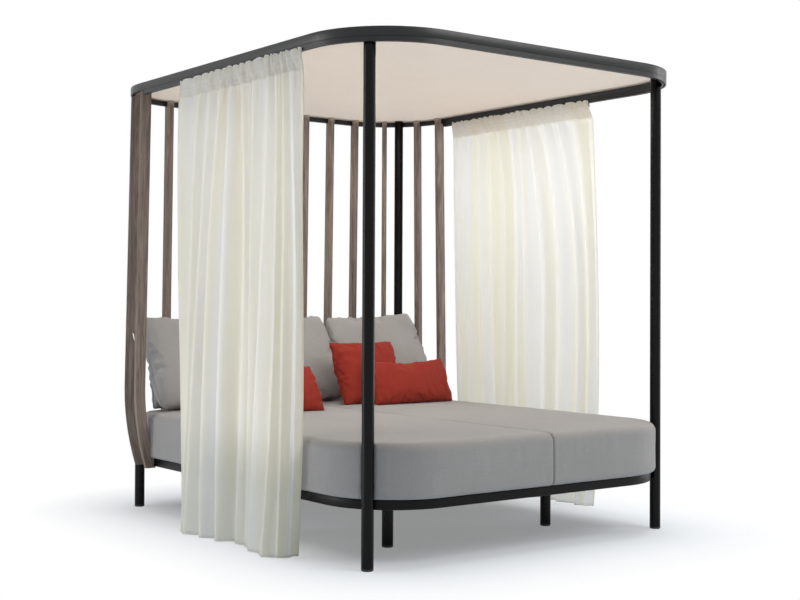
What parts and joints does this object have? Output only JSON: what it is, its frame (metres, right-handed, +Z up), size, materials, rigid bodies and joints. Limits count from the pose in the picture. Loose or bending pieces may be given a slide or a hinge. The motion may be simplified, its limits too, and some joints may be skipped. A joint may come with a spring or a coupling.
{
  "type": "outdoor canopy daybed",
  "caption": "Outdoor daybed with a round-cornered frame, timber slats round the head end, a flat canopy, a two-part mattress, cushions and sliding side curtains.",
  "frame": {"origin": "on the floor, at the middle of the footprint of the canopy and base rings", "axes": "+Z up, +X to the right seen from the open foot end, +Y towards the head end with the slats"},
  "size_m": [2.1295, 2.3398, 2.13],
  "materials": {
    "frame_metal": "satin black powder coat on tube",
    "deck_metal": "satin black powder coat on slotted plate",
    "black_plastic": "matt black moulded caps and stops",
    "timber": "grey-brown weathered oiled timber, grain along the slat",
    "canopy_cloth": "beige stretched outdoor cloth on a flat panel",
    "curtain_cloth": "cream light woven curtain cloth",
    "grey_cloth": "warm grey woven outdoor upholstery",
    "red_cloth": "terracotta red woven outdoor upholstery",
    "steel_hook": "brushed stainless steel"
  },
  "bodies": {
    "frame": {"front_left_post": "frame_metal", "front_right_post": "frame_metal", "rear_left_post": "frame_metal", "rear_right_post": "frame_metal", "front_left_inner_leg": "frame_metal", "front_right_inner_leg": "frame_metal", "rear_left_inner_leg": "frame_metal", "rear_right_inner_leg": "frame_metal", "front_crossbeam": "frame_metal", "middle_crossbeam": "frame_metal", "rear_crossbeam": "frame_metal", "left_curtain_track": "frame_metal", "right_curtain_track": "frame_metal", "base_ring": "frame_metal", "canopy_ring": "frame_metal", "front_left_post_cap": "black_plastic", "front_right_post_cap": "black_plastic", "rear_left_post_cap": "black_plastic", "rear_right_post_cap": "black_plastic", "front_left_inner_leg_cap": "black_plastic", "front_right_inner_leg_cap": "black_plastic", "rear_left_inner_leg_cap": "black_plastic", "rear_right_inner_leg_cap": "black_plastic", "left_track_front_stop": "black_plastic", "left_track_rear_stop": "black_plastic", "right_track_front_stop": "black_plastic", "right_track_rear_stop": "black_plastic", "slat_01": "timber", "slat_02": "timber", "slat_03": "timber", "slat_04": "timber", "slat_05": "timber", "slat_06": "timber", "slat_07": "timber", "slat_08": "timber", "slat_09": "timber", "slat_10": "timber", "slat_11": "timber", "slat_12": "timber", "slat_13": "timber", "slat_14": "timber", "left_deck": "deck_metal", "right_deck": "deck_metal", "canopy_panel": "canopy_cloth", "left_mattress": "grey_cloth", "right_mattress": "grey_cloth", "left_back_cushion": "grey_cloth", "middle_back_cushion": "grey_cloth", "right_back_cushion": "grey_cloth", "small_cushion": "grey_cloth", "square_pillow": "red_cloth", "right_lumbar_pillow": "red_cloth", "left_lumbar_pillow": "red_cloth", "tieback_hook": "steel_hook"},
    "left_curtain_body": {"left_curtain": "curtain_cloth", "left_heading_tape": "curtain_cloth"},
    "right_curtain_body": {"right_curtain": "curtain_cloth", "right_heading_tape": "curtain_cloth"}
  },
  "joints": [
    {"name": "left_curtain_slide", "type": "slide", "parent": "frame", "child": "left_curtain_body", "axis": [0, 1, 0], "range_m": [-0.09, 0.38]},
    {"name": "right_curtain_slide", "type": "slide", "parent": "frame", "child": "right_curtain_body", "axis": [0, 1, 0], "range_m": [-0.3, 0.09]}
  ]
}
